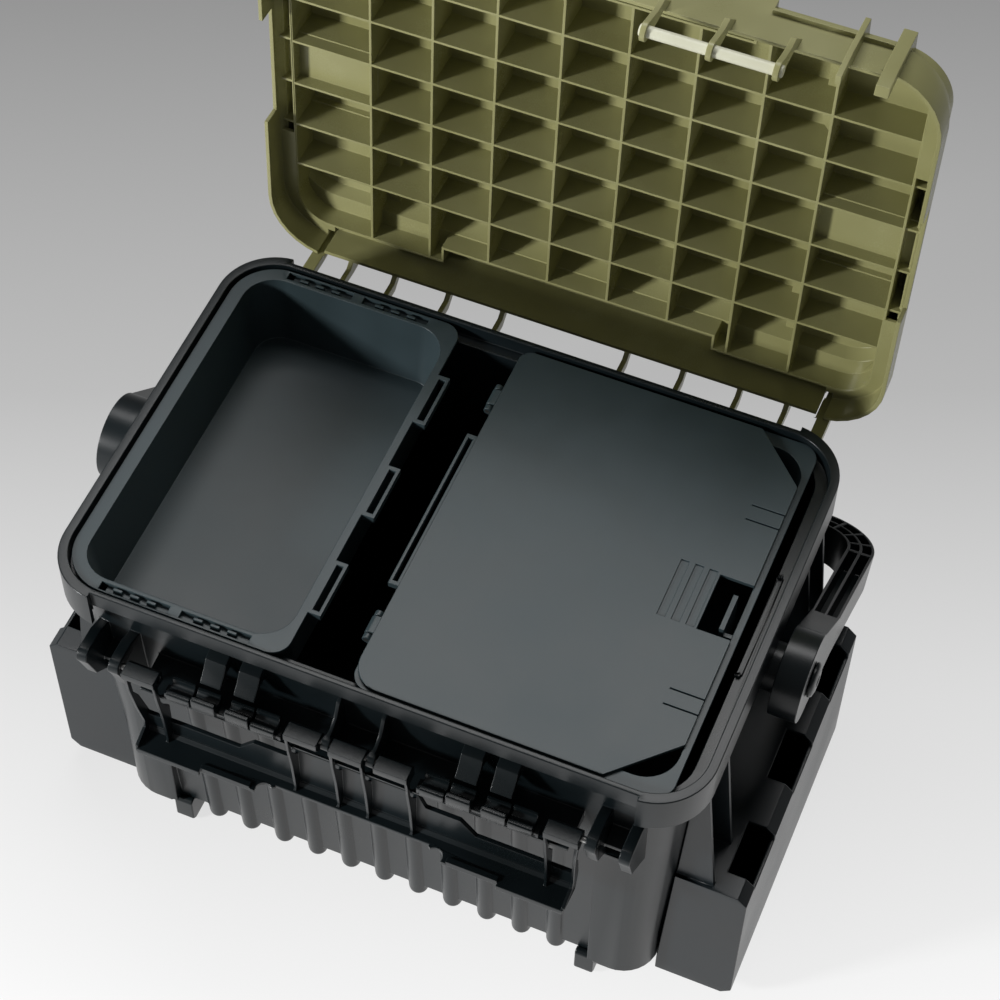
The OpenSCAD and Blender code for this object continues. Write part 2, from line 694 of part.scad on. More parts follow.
// The handle lies in the XY plane here, its pivot line along X through the origin
module handle_flat() {
    mid_w = 2 * handle_out;
    inner_r = handle_r - handle_t;
    mean_r = handle_r - handle_t / 2;
    turn_y = handle_reach + grip_d / 2 - handle_r;
    turn_x = handle_out - handle_r;
    difference() {
        union() {
            // arms, rounded corners and grip
            translate([0, 0, -grip_h / 2]) linear_extrude(grip_h) difference() {
                union() {
                    translate([-handle_out, 0]) square([mid_w, turn_y]);
                    translate([-turn_x, 0]) square([2 * turn_x, handle_reach + grip_d / 2]);
                    for (s = [-1, 1]) translate([s * turn_x, turn_y]) circle(handle_r);
                }
                translate([-handle_in, -1]) square([2 * handle_in, turn_y + 1]);
                translate([-turn_x, -1]) square([2 * turn_x, handle_reach - grip_d / 2 + 1]);
                for (s = [-1, 1]) translate([s * turn_x, turn_y]) circle(inner_r);
            }
            both_x() rod_x(handle_in, handle_out, boss_r, 0, 0);
            // flared necks between the round ends and the arms
            both_x() along_x(handle_in, handle_out)
                polygon([[0, -boss_r], [0.42 * boss_r, -0.9 * boss_r], [2.3 * boss_r, -grip_h / 2], [2.3 * boss_r, grip_h / 2],
                    [0.42 * boss_r, 0.9 * boss_r], [0, boss_r]]);
        }
        both_x() rod_x(handle_in - 1, handle_out + 1, stud_r + run_gap, 0, 0);
        // two rows of cells: long ones in the arms, short ones round the corners
        both_x() for (row = [0, 1]) {
            x0 = handle_in + cell_wall + row * (handle_t - cell_wall) / 2;
            x1 = x0 + (handle_t - 3 * cell_wall) / 2;
            span([x0, 1.7 * boss_r, grip_h / 2 - cell_deep], [x1, turn_y - cell_wall, grip_h / 2 + 1]);
            for (k = [0:3]) translate([turn_x, turn_y, grip_h / 2 - cell_deep]) rotate([0, 0, k * 22.5 + 2])
                rotate_extrude(angle = 18.5) translate([x0 - turn_x, 0]) square([x1 - x0, cell_deep + 1]);
            for (k = [0:4]) span([60 + k * (turn_x - 62) / 5, handle_reach - grip_d / 2 + cell_wall + row * (grip_d - cell_wall) / 2, grip_h / 2 - cell_deep],
                [60 + (k + 1) * (turn_x - 62) / 5 - cell_wall, handle_reach - grip_d / 2 + row * (grip_d - cell_wall) / 2 + (grip_d - cell_wall) / 2, grip_h / 2 + 1]);
        }
    }
}

module carry_handle() {
    color(black) translate([0, 0, pivot_z]) rotate([-handle_fold, 0, 0]) handle_flat();
}

// Pads, fins and webs are outlines from the hinge line, as [out, up]
module lever_pad(x) {
    at_hinge(x - pad_w / 2, x + pad_w / 2) polygon([[-4.5, -6], [4, -6], [pad_out, -1], [pad_out, pad_up],
        [-2, pad_up], [-4.5, pad_up - 2.5]]);
}

// Slim fin that carries a pad, hooked round the front of the tub's shelf
module lever_fin(x) {
    at_hinge(x, x + fin_t) polygon([[2.8, -3], [pad_out - 0.8, -2], [5.4, -shelf_drop], [2.5, -shelf_drop - 24],
        [0.6, -lever_h + 6], [1.6, -lever_h + lever_t - 0.5], [-lever_set, -lever_h + 1], [-lever_set, -shelf_drop - 22],
        [-2, -shelf_drop - 15], [2.3, -shelf_drop - 5.5]]);
}

// Leaning web at each end, from the end pad down to the lip
module lever_web() {
    translate([lever_half, 0, hinge_z]) rotate([0, atan(waist_in / lever_h), 0]) translate([0, 0, -hinge_z])
        at_hinge(-fin_t, 0) polygon([[2.8, 2], [pad_out - 0.8, 2], [5.4, -shelf_drop], [2.5, -shelf_drop - 24],
            [-1, -lever_h + plate_h - 3], [0, -lever_h + 9], [lip_out - 1, -lever_h + 4.6], [lip_out - 1, -lever_h + 0.5],
            [-lever_set - lever_t / 2, -lever_h + 0.5], [-lever_set - lever_t / 2, -lever_h + plate_h],
            [-2, -shelf_drop - 15], [2.3, -shelf_drop - 5.5]]);
}

module rear_lever_body() {
    t = lever_t;
    waist = lever_half - waist_in;
    x1 = rod_mid - 4;
    x2 = rod_in + pad_w / 4;
    top1 = lever_low + plate_h;
    top2 = top1 + plate_step;
    top3 = top2 + plate_step;
    // lip steps: outer, middle and inner stretch
    x_out = rod_out - 4 * saddle_end;
    x_in = rod_in + pad_w / 2;
    y_out = hinge_y + lip_out;
    y_in = hinge_y + 2.8;
    difference() {
        union() {
            // plate, with its top edge stepping up towards the middle
            translate([0, plate_y + t / 2, 0]) rotate([90, 0, 0]) linear_extrude(t) polygon([[-waist, lever_low], [waist, lever_low],
                [waist, top1], [x1, top1], [x1 - 10, top2], [x2, top2], [x2 - 5, top3], [5 - x2, top3], [-x2, top2],
                [10 - x1, top2], [-x1, top1], [-waist, top1]]);
            // lip, which steps in towards the middle
            translate([0, 0, lever_low]) linear_extrude(t) polygon([[-waist + 0.5, plate_y - t / 2], [waist - 0.5, plate_y - t / 2],
                [waist - 0.5, y_out], [x_out, y_out], [x_out, y_out - 4], [x_in + 14, y_out - 4], [x_in + 14, y_out - 2],
                [x_in + 10, y_out - 2], [x_in, y_out - 9], [x_in, y_in], [-x_in, y_in], [-x_in, y_out - 9], [-x_in - 10, y_out - 2],
                [-x_in - 14, y_out - 2], [-x_in - 14, y_out - 4], [-x_out, y_out - 4], [-x_out, y_out], [-waist + 0.5, y_out]]);
            // rolled edge of the middle stretch, turned-down edge of the outer one
            both_x() span([x_in + 14, y_out - 6, lever_low - 0.6], [x_out, y_out - 2.4, lever_low + t + 1.4]);
            both_x() span([x_out, y_out - 2, lever_low - 2], [waist - 1, y_out, lever_low + 1]);
            // fillet between plate and lip
            along_x(-waist + 1, waist - 1) polygon([[plate_y, lever_low + 1], [plate_y + t / 2 + 2.6, lever_low + 1],
                [plate_y + t / 2 + 2.6, lever_low + t], [plate_y + t / 2 + 0.8, lever_low + t + 2.6], [plate_y, lever_low + t + 2.6]]);
            lever_pad(0);
            both_x() lever_pad(pad_mid);
            both_x() lever_pad(pad_end);
            both_x() lever_fin(pad_w / 2 - fin_t);
            both_x() lever_fin(pad_mid + pad_w / 2 - fin_t);
            both_x() lever_fin(pad_end - pad_w / 2);
            both_x() lever_web();
        }
        // round notch beside the inner stretch of the lip
        both_x() translate([x_in + 5.5, y_out - 4, 0]) cylinder(h = far, r = 5.5);
        both_x() rod_x(pad_end - pad_w, pad_end + pad_w, pivot_r + run_gap, hinge_y, hinge_z);
        rod_x(-pad_mid + pad_w / 4, pad_mid - pad_w / 4, pivot_r + run_gap, hinge_y, hinge_z);
    }
}

module rear_lever() {
    color(black) rear_lever_body();
}

module front_lever() {
    color(black) mirror([0, 1, 0]) rear_lever_body();
}

module rear_pins() {
    both_x() rod_x(ear_x - pivot_in, ear_x + ear_w, pivot_r, hinge_y, hinge_z);
    rod_x(-pad_mid + pad_w / 4 + 1, pad_mid - pad_w / 4 - 1, pivot_r, hinge_y, hinge_z);
}

module rear_lever_pins() {
    color(steel) rear_pins();
}

module front_lever_pins() {
    color(steel) mirror([0, 1, 0]) rear_pins();
}

// The lid is drawn closed and then swung open about the rear hinge line

module opened() {
    translate([0, hinge_y, hinge_z]) rotate([-lid_angle, 0, 0]) translate([0, -hinge_y, -hinge_z]) children();
}

// The lid's outline in three steps; t is the distance inside its outer surface
module lid_form(t) {
    $fn = round_fn;
    w = lid_w - 2 * t;
    d = lid_d - 2 * t;
    r = lid_r - t;
    low = t > 0 ? skirt_z - 1 : skirt_z;
    difference() {
        union() {
            hull() {
                slab(w, d, r, low, rim_z + 1);
                slab(w - 5, d - 1, r - 1, shoulder_z - t - 0.5, shoulder_z - t);
            }
            slab(w - 6.5, d - 17, r - 8, rim_z, step_z - t);
            hull() {
                slab(w - 9, d - 46, r - 12, shoulder_z - t, step_z - t);
                slab(w - 2 * lid_draft + 6, d - 2 * crown_in + 7, r - 13, lid_top - 4 - t, lid_top - 3 - t);
                slab(w - 2 * lid_draft, d - 2 * crown_in, r - 15, lid_top - 1 - t, lid_top - t);
            }
            // the step runs out to the hinge wall in the middle
            both_y() span([t - tall_half, lid_d / 2 - crown_in, shoulder_z - t - 1], [tall_half - t, hinge_face_y - t, step_z - t]);
        }
        // lowered corners
        both_x() both_y() translate([lid_w / 2 - 74 - t + 60, lid_d / 2 - 94 - t + 60, corner_z - t])
            linear_extrude(far) rounded(120, 120, 14);
        // grip recess in the middle of each side
        both_x() span([x_recess - t, t - y_recess - 2 * t, recess_z - t], [far, y_recess + t, far]);
    }
}

// Hinge walls, their arms and the brackets over the lugs
module hinge_parts() {
    span([-hinge_half, hinge_wall_y, skirt_z], [hinge_half, hinge_face_y, shoulder_z - lid_wall / 2]);
    for (x = arm_xs) {
        along_x(x - arm_t / 2, x + arm_t / 2) polygon([
            [hinge_y - arm_r, hinge_z], [hinge_y + arm_r, hinge_z], [hinge_y + arm_r - 2.5, hinge_z + 10], [hinge_y + 1.5, hinge_z + 18],
            [hinge_y + 1.5, skirt_z - 3], [hinge_face_y - 0.5, skirt_z + 10], [hinge_face_y - 0.5, skirt_z], [hinge_y - arm_r, skirt_z - 4]]);
        rod_x(x - arm_t / 2, x + arm_t / 2, arm_r, hinge_y, hinge_z);
    }
    foot = hinge_z + ear_r + 3;
    along_x(ear_x + 1.5, ear_x + 1.5 + arm_t) polygon([
        [hinge_face_y - 0.5, skirt_z], [hinge_y - arm_r, skirt_z - 4], [hinge_y - arm_r, foot], [hinge_y, foot], [hinge_y + 1, skirt_z],
        [hinge_y - 2.5, step_z - 1], [lid_d / 2 - 9.5, step_z + 1], [lid_d / 2 - 9.5, shoulder_z - 1], [hinge_face_y - 0.5, shoulder_z - 1]]);
    along_x(hinge_half + 1, hinge_half + 9.2) polygon([
        [lid_d / 2 - 0.5, foot], [hinge_y, foot + 2], [hinge_y + 0.5, skirt_z], [hinge_y - 2.5, step_z - 1],
        [lid_d / 2 - 9.5, step_z + 1], [lid_d / 2 - 9.5, shoulder_z - 1], [lid_d / 2 - 0.5, shoulder_z - 1]]);
}

module lattice_lines() {
    intersection() {
        translate([0, 0, lattice_z]) linear_extrude(far) field_outline(0.5);
        union() {
            for (i = [0:lattice_nx - 1]) {
                x = (i - (lattice_nx - 1) / 2) * lattice_x;
                span([x - lattice_t / 2, -far, lattice_z], [x + lattice_t / 2, far, lid_top]);
            }
            for (j = [0:lattice_ny - 1]) {
                y = (j - (lattice_ny - 1) / 2) * lattice_y;
                span([-far, y - lattice_t / 2, lattice_z], [far, y + lattice_t / 2, lid_top]);
            }
        }
    }
}

// Outline of the rib field, set back in the middle of its front and rear; t is the inset
module field_outline(t) {
    difference() {
        rounded(2 * field_x - 2 * t, 2 * field_y - 2 * t, 24 - t);
        for (s = [-1, 1]) translate([-notch_half - t, s * field_y - (notch_in + t)]) square([2 * notch_half + 2 * t, 2 * notch_in + 2 * t]);
    }
}

module field_wall() {
    translate([0, 0, lattice_z]) linear_extrude(lid_top - lattice_z) difference() {
        field_outline(0);
        field_outline(lattice_t);
    }
}

// Flat corners between the rib field and the skirt, open in channels on the sides
module margin() {
    difference() {
        slab(lid_w - lid_wall, lid_d - lid_wall, lid_r - lid_wall / 2, lattice_z - 0.5, lattice_z + 2);
        slab(2 * field_x - 2, 2 * field_y - 2, 23, 0, far);
        span([-hinge_half, -far, 0], [hinge_half, far, far]);
        both_x() span([field_x, -channel_y, 0], [lid_w / 2 - lid_wall, channel_y, far]);
    }
    // webs across the side channels, in line with the ribs
    both_x() for (j = [0:lattice_ny - 1]) {
        y = (j - (lattice_ny - 1) / 2) * lattice_y;
        span([field_x - 1, y - lattice_t / 2, lattice_z + 1], [lid_w / 2, y + lattice_t / 2, lid_top]);
    }
}

module lid_closed() {
    difference() {
        union() {
            difference() {
                lid_form(0);
                lid_form(lid_wall);
                // room for the hinges outside the hinge walls
                both_y() span([-hinge_half, hinge_wall_y, 0], [hinge_half, far, shoulder_z - lid_wall]);
                both_y() span([-tall_half, hinge_face_y, 0], [tall_half, far, lid_top]);
            }
            intersection() {
                union() {
                    lattice_lines();
                    field_wall();
                    margin();
                }
                lid_form(lid_wall / 2);
            }
            both_y() both_x() hinge_parts();
        }
        both_y() both_x() rod_x(rod_in - 2, rod_out + 2, eye_bore, hinge_y, hinge_z);
        // slits beside the hinge walls
        both_y() both_x() span([hinge_half, lid_d / 2 - 8 + 0.5, 0], [hinge_half + slit_w, lid_d / 2 - 0.5, shoulder_z + 1]);
        // the skirt is shorter in the middle of each side, over the handle
        both_x() span([lid_w / 2 - 6, -44, 0], [far, 40, skirt_z + 13]);
        // two shallow panels on the top
        both_y() translate([0, 62, 0]) slab(260, 84, 14, lid_top - 0.8, far);
    }
}

module lid_shell() {
    color(olive) opened() lid_closed();
}

module closed_rod(side, face) {
    x0 = side > 0 ? rod_in : -rod_out;
    x1 = side > 0 ? rod_out : -rod_in;
    rod_x(x0, x1, rod_r, face * hinge_y, hinge_z);
}

module front_left_hinge_rod() { color(cream) opened() closed_rod(-1, -1); }
module front_right_hinge_rod() { color(cream) opened() closed_rod(1, -1); }
module rear_left_hinge_rod() { color(cream) opened() closed_rod(-1, 1); }
module rear_right_hinge_rod() { color(cream) opened() closed_rod(1, 1); }

// Open basin between two x positions, with thin sloping walls
module basin(x0, x1, half, r, top) {
    $fn = round_fn;
    mid = (x0 + x1) / 2;
    w = x1 - x0;
    drop = 5;
    difference() {
        hull() {
            translate([mid, 0, 0]) slab(w, 2 * half, r, top - 1, top);
            translate([mid, 0, 0]) slab(w - 2 * drop, 2 * half - 2 * drop, r - 4, tray_floor_z, tray_floor_z + 1);
        }
        hull() {
            translate([mid, 0, 0]) slab(w - 2 * tray_wall, 2 * half - 2 * tray_wall, r - tray_wall, top - 1, top + 1);
            translate([mid, 0, 0]) slab(w - 2 * drop - 2 * tray_wall, 2 * half - 2 * drop - 2 * tray_wall, r - 5,
                tray_floor_z + tray_wall, tray_floor_z + tray_wall + 1);
        }
    }
}

basin_half = well_d / 2 - basin_gap;

module parts_tray() {
    x0 = tray_left;
    x1 = tray_right;
    mid = (x0 + x1) / 2;
    w = x1 - x0;
    in0 = -(well_w / 2 - basin_gap);
    in1 = tray_right - 3.5;
    in_mid = (in0 + in1) / 2;
    color(slate) difference() {
        union() {
            basin(in0, in1, basin_half, basin_r, tray_z);
            // rim
            difference() {
                union() {
                    translate([mid, 0, 0]) slab(w, 2 * tray_front, 12, tray_z - 2.2, tray_z);
                    // thick front and rear bars that sit on the ledge
                    both_y() span([x0 + open_r, basin_half - 1, rest_z], [x1 - 12, tray_front, tray_z - 1]);
                    span([x0, -tray_front + open_r, rest_z], [x0 + 2, tray_front - open_r, tray_z - 1]);
                }
                translate([in_mid, 0, 0]) slab(in1 - in0 - 2 * tray_wall, 2 * basin_half - 2 * tray_wall, basin_r - tray_wall, 0, far);
            }
            // loops along the right rim
            for (k = [-1:1]) translate([x1 - 1, k * loop_pitch - 3, 0]) difference() {
                span([0, -loop_l / 2, tray_z - 5], [9, loop_l / 2, tray_z]);
                span([2.6, -loop_l / 2 + 3, 0], [7, loop_l / 2 - 3, far]);
            }
        }
        // the tub's rounded corners
        difference() {
            span([-far, -far, 0], [-open_w / 2 + open_r, far, far]);
            slab(open_w - 2 * tray_gap - 1, 2 * tray_front, open_r - tray_gap, -1, far + 1);
        }
        // divided pockets in the front and rear bars
        both_y() for (p = [tray_left + pocket_in + 3, tray_right - pocket_in + 3]) difference() {
            span([p - 22.5, basin_half + 0.8, tray_z - 3.5], [p + 22.5, tray_front - 1.4, far]);
            for (q = [-11, 0, 11]) span([p + q - 3, basin_half + 2.2, 0], [p + q + 3, basin_half + 3.8, far]);
        }
    }
}

module cover_outline() {
    half = tray_front - 1;
    right = box_right - 4;
    left = cover_x + 2.9;
    $fn = round_fn;
    difference() {
        union() {
            polygon([[left, -half + 18], [left + 18, -half], [right - 36, -half], [right - 10, -half + 26], [right, -half + 36],
                [right, half - 34], [right - 34, half], [left + 8, half], [left, half - 8]]);
            translate([left + 18, -half + 18]) circle(18);
            translate([left + 8, half - 8]) circle(8);
        }
        // notch over the tray's latch tongue
        translate([right - 21, -20.6]) square([22, 41.2]);
    }
}

module tray_cover() {
    right = box_right - 4;
    color(slate) difference() {
        union() {
            translate([0, 0, box_rim_z + 0.2]) linear_extrude(cover_t) cover_outline();
            for (y = knuckle_ys) {
                rod_y(y - 6, y + 6, knuckle_r, cover_x, cover_z);
                span([cover_x, y - 6, box_rim_z + 0.2], [cover_x + 6, y + 6, box_rim_z + 0.2 + cover_t - 0.3]);
            }
        }
        for (y = knuckle_ys) rod_y(y - 10, y + 10, cover_pin_r + run_gap, cover_x, cover_z);
        // slots beside the two spring clips
        for (y = [-70, 70], s = [-1, 1]) span([right - 21, y + s * 5.5 - 0.5, 0], [far, y + s * 5.5 + 0.5, far]);
        // finger grip
        for (k = [0:2]) span([right - 46 + k * 9, -20, tray_z - 0.9], [right - 41 + k * 9, 22, far]);
    }
}

module cover_hinge_pins() {
    color(steel) for (y = knuckle_ys) rod_y(y - 10.5, y + 10.5, cover_pin_r, cover_x, cover_z);
}

module covered_tray() {
    in0 = box_left + 7.5;
    in1 = box_right - 2.5;
    mid = (in0 + in1) / 2;
    color(slate) difference() {
        union() {
            basin(in0, in1, basin_half, basin_r, box_rim_z);
            difference() {
                union() {
                    translate([(in0 + box_right) / 2, 0, 0]) slab(box_right - in0, 2 * tray_front, 12, box_rim_z - 2.2, box_rim_z);
                    both_y() span([in0 + 12, basin_half - 1, rest_z], [box_right - 12, tray_front, box_rim_z - 1]);
                }
                translate([mid, 0, 0]) slab(in1 - in0 - 2 * tray_wall, 2 * basin_half - 2 * tray_wall, basin_r - tray_wall, 0, far);
            }
            // long strip beside the cover's hinge
            difference() {
                span([box_left, -60, box_rim_z - 4], [in0 + 1, 60, box_rim_z]);
                span([box_left + 2, -57, 0], [box_left + 5, 57, far]);
            }
            // hinge lugs
            for (y = knuckle_ys, s = [-1, 1]) {
                rod_y(y + s * 8.6 - 1.8, y + s * 8.6 + 1.8, knuckle_r - 0.3, cover_x, cover_z);
                span([cover_x, y + s * 8.6 - 1.8, cover_z - 3], [in0 + 1, y + s * 8.6 + 1.8, cover_z]);
            }
            // latch tongue in the cover's notch
            span([box_right - 13, -16, tray_floor_z + 8], [box_right - 10, 10, tray_z + 0.6]);
            span([box_right - 11, -16, tray_floor_z + 8], [in1 - 5, 10, tray_floor_z + 11]);
            span([box_right - 13, -16, box_rim_z - 9], [in1 - 1.2, -13, box_rim_z - 3]);
        }
        for (y = knuckle_ys) {
            rod_y(y - 12, y + 12, cover_pin_r + run_gap / 2, cover_x, cover_z);
            rod_y(y - 6.6, y + 6.6, knuckle_r + 0.5, cover_x, cover_z);
        }
    }
}

// Moves the box so that the origin is under the middle of its open reach
module placed() {
    translate([0, -mid_y, 0]) children();
}

placed() tub();
placed() feet();
placed() left_rod_stand();
placed() right_rod_stand();
placed() rod_stand_screws();
placed() left_handle_bracket();
placed() right_handle_bracket();
placed() bracket_screws();
placed() left_pivot_cap();
placed() right_pivot_cap();
placed() carry_handle();
placed() front_lever();
placed() rear_lever();
placed() front_lever_pins();
placed() rear_lever_pins();
placed() lid_shell();
placed() front_left_hinge_rod();
placed() front_right_hinge_rod();
placed() rear_left_hinge_rod();
placed() rear_right_hinge_rod();
placed() parts_tray();
placed() covered_tray();
placed() tray_cover();
placed() cover_hinge_pins();
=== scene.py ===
import math
import bpy
from mathutils import Matrix, Vector


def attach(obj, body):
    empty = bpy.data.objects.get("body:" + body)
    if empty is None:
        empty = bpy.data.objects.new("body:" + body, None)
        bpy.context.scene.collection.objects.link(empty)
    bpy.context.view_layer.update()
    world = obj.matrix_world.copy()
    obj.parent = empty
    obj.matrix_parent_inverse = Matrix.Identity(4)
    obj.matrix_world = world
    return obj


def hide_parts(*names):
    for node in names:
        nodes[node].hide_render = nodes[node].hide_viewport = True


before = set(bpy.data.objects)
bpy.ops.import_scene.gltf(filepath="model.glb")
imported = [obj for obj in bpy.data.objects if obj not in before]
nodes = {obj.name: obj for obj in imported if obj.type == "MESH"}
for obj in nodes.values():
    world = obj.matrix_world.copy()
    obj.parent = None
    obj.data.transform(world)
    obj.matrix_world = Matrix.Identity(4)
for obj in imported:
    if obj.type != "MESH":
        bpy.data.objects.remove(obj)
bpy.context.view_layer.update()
scene = bpy.context.scene
print("frame loaded")

# the photograph's own viewpoint: its place, its axes, the lens and the shift of the picture
camera = {
    "place": (0.3617, -0.872317, 1.55246),
    "right": (0.919122, 0.393968, -0.001741),
    "up": (-0.320924, 0.751260, 0.576729),
    "back": (0.228521, -0.529526, 0.816934),
    "lens": 94.172,
    "sensor": 36,
    "shift": (0.0439, 0.0207),
    "clip": (0.05, 30),
}


def addCamera():
    data = bpy.data.cameras.new("photoCamera")
    data.sensor_width = camera["sensor"]
    data.lens = camera["lens"]
    data.shift_x, data.shift_y = camera["shift"]
    data.clip_start, data.clip_end = camera["clip"]
    eye = bpy.data.objects.new("photoCamera", data)
    scene.collection.objects.link(eye)
    turn = Matrix([camera["right"], camera["up"], camera["back"]]).transposed().to_4x4()
    eye.matrix_world = Matrix.Translation(camera["place"]) @ turn
    scene.camera = eye


addCamera()
print("camera placed")


class Socket:  # a shader socket that can be added, scaled and mixed like a number
    def __init__(self, tree, link=None):
        self.tree, self.link = tree, link

    def node(self, kind, out=0, settings=None, **values):
        made = self.tree.nodes.new(kind)
        for key, value in (settings or {}).items():
            if key == "stops":
                ramp = made.color_ramp
                while len(ramp.elements) < len(value):
                    ramp.elements.new(1)
                for stop, (place, tone) in zip(ramp.elements, value):
                    stop.position = place
                    stop.color = tone if len(tone) == 4 else (*tone, 1)
            else:
                setattr(made, key, value)
        for key, value in values.items():
            numbered = key[0] == "i" and key[1:].isdigit()
            target = made.inputs[int(key[1:]) if numbered else key.replace("_", " ")]
            if isinstance(value, Socket):
                self.tree.links.new(value.link, target)
            else:
                target.default_value = value
        return Socket(self.tree, made.outputs[out])

    def output(self, name):  # another output of the same node
        return Socket(self.tree, self.link.node.outputs[name])

    def maths(self, operation, first, second):
        return self.node("ShaderNodeMath", settings={"operation": operation}, i0=first, i1=second)

    def __add__(self, other):
        return self.maths("ADD", self, other)

    def __sub__(self, other):
        return self.maths("SUBTRACT", self, other)

    def __mul__(self, other):
        return self.maths("MULTIPLY", self, other)

    def __rsub__(self, other):
        return self.maths("SUBTRACT", other, self)

    __radd__ = __add__
    __rmul__ = __mul__

    def mixed(self, low, high):  # low where this is 0, high where it is 1
        return self.node("ShaderNodeMix", out=2, settings={"data_type": "RGBA"}, i0=self, i6=low, i7=high)


def rgb(red, green, blue):  # a colour as it looks on screen, from 0 to 255
    def plain(value):
        value /= 255
        return value / 12.92 if value <= 0.04045 else ((value + 0.055) / 1.055) ** 2.4
    return (plain(red), plain(green), plain(blue), 1)


def newMaterial(name):
    material = bpy.data.materials.new(name)
    material.use_nodes = True
    tree = material.node_tree
    tree.nodes.clear()
    return material, Socket(tree)


def finishMaterial(shade, shader):
    out = shade.tree.nodes.new("ShaderNodeOutputMaterial")
    shade.tree.links.new(shader.link, out.inputs["Surface"])


# each moulded finish: its two tones, its roughness and the strength of its grain
plastics = {
    "blackPlastic": {"colour": rgb(13, 19, 21), "light": rgb(20, 27, 30), "rough": 0.30, "grain": 0.10},
    "slatePlastic": {"colour": rgb(43, 54, 57), "light": rgb(52, 64, 68), "rough": 0.36, "grain": 0.10},
    "standPlastic": {"colour": rgb(17, 23, 26), "light": rgb(25, 32, 36), "rough": 0.34, "grain": 0.12},
    "olivePlastic": {"colour": rgb(142, 140, 95), "light": rgb(157, 155, 111), "rough": 0.27, "grain": 0.05},
    # the hinge rods' pale cream tones are a painted highlight, a lighter copy of the olive lid plastic
    "paintedHighlightPlastic": {"colour": rgb(206, 205, 180), "light": rgb(222, 222, 200), "rough": 0.25, "grain": 0.02},
}
moulding = {"cloudScale": 9.0, "fineScale": 1400.0, "toneEnds": (0.35, 0.65), "toneRough": 0.06,
            "fineRough": 0.05, "grainDepth": 0.0003, "ior": 1.4}


def mouldedPlastic(name, look):
    material, shade = newMaterial(name)
    place = shade.node("ShaderNodeTexCoord", out="Object")
    cloud = shade.node("ShaderNodeTexNoise", Vector=place, Scale=moulding["cloudScale"], Detail=3.0,
                       Roughness=0.6)
    fine = shade.node("ShaderNodeTexNoise", Vector=place, Scale=moulding["fineScale"], Detail=2.0,
                      Roughness=0.7)
    low, high = moulding["toneEnds"]
    tone = shade.node("ShaderNodeMapRange", i0=cloud, i1=low, i2=high, i3=0.0, i4=1.0)
    colour = tone.mixed(look["colour"], look["light"])
    rough = look["rough"] + (tone - 0.5) * moulding["toneRough"] + (fine - 0.5) * moulding["fineRough"]
    relief = shade.node("ShaderNodeBump", Strength=look["grain"], Distance=moulding["grainDepth"],
                        Height=fine)
    shader = shade.node("ShaderNodeBsdfPrincipled", Base_Color=colour, Roughness=rough, Normal=relief,
                        IOR=moulding["ior"])
    finishMaterial(shade, shader)
    return material


materials = {name: mouldedPlastic(name, look) for name, look in plastics.items()}


steel = {"colour": rgb(190, 190, 188), "rough": 0.25, "hazeRough": 0.2, "hazeScale": 300.0}


def platedSteel():
    material, shade = newMaterial("platedSteel")
    place = shade.node("ShaderNodeTexCoord", out="Object")
    haze = shade.node("ShaderNodeTexNoise", Vector=place, Scale=steel["hazeScale"], Detail=3.0)
    shader = shade.node("ShaderNodeBsdfPrincipled", Base_Color=steel["colour"], Metallic=1.0,
                        Roughness=steel["rough"] + haze * steel["hazeRough"])
    finishMaterial(shade, shader)
    return material


materials["platedSteel"] = platedSteel()
print("materials made")

# every moulded piece: the body it moves with, its finish and its edge rounding in millimetres;
# a loose one keeps its small faces apart
dressing = {
    "tub": {"body": "case", "finish": "blackPlastic", "edge": 0.7, "loose": True},
    "feet": {"body": "case", "finish": "blackPlastic", "edge": 1.0},
    "left_rod_stand": {"body": "case", "finish": "standPlastic", "edge": 0.7, "loose": True},
    "right_rod_stand": {"body": "case", "finish": "standPlastic", "edge": 0.7, "loose": True},
    "left_handle_bracket": {"body": "case", "finish": "blackPlastic", "edge": 0.6},
    "right_handle_bracket": {"body": "case", "finish": "blackPlastic", "edge": 0.6},
    "left_pivot_cap": {"body": "case", "finish": "blackPlastic", "edge": 0.4},
    "right_pivot_cap": {"body": "case", "finish": "blackPlastic", "edge": 0.4},
    "carry_handle": {"body": "handle", "finish": "blackPlastic", "edge": 0.6},
    "front_lever": {"body": "front_release", "finish": "blackPlastic", "edge": 0.45, "loose": True},
    "rear_lever": {"body": "rear_release", "finish": "blackPlastic", "edge": 0.45, "loose": True},
    "lid_shell": {"body": "lid", "finish": "olivePlastic", "edge": 0.35},
    # the hinge rods take the pale painted highlight tone
    "front_left_hinge_rod": {"body": "lid", "finish": "paintedHighlightPlastic", "edge": 0.5},
    "front_right_hinge_rod": {"body": "lid", "finish": "paintedHighlightPlastic", "edge": 0.5},
    "rear_left_hinge_rod": {"body": "lid", "finish": "paintedHighlightPlastic", "edge": 0.5},
    "rear_right_hinge_rod": {"body": "lid", "finish": "paintedHighlightPlastic", "edge": 0.5},
    "parts_tray": {"body": "open_tray", "finish": "slatePlastic", "edge": 0.4, "loose": True},
    "covered_tray": {"body": "lidded_tray", "finish": "slatePlastic", "edge": 0.4, "loose": True},
    "tray_cover": {"body": "cover", "finish": "slatePlastic", "edge": 0.35, "loose": True},
}
edges = {"mergeWithin": 0.0002, "flatWithin": math.radians(1.5), "sharpFrom": math.radians(38),
         "segments": 2, "faceWeight": 50}


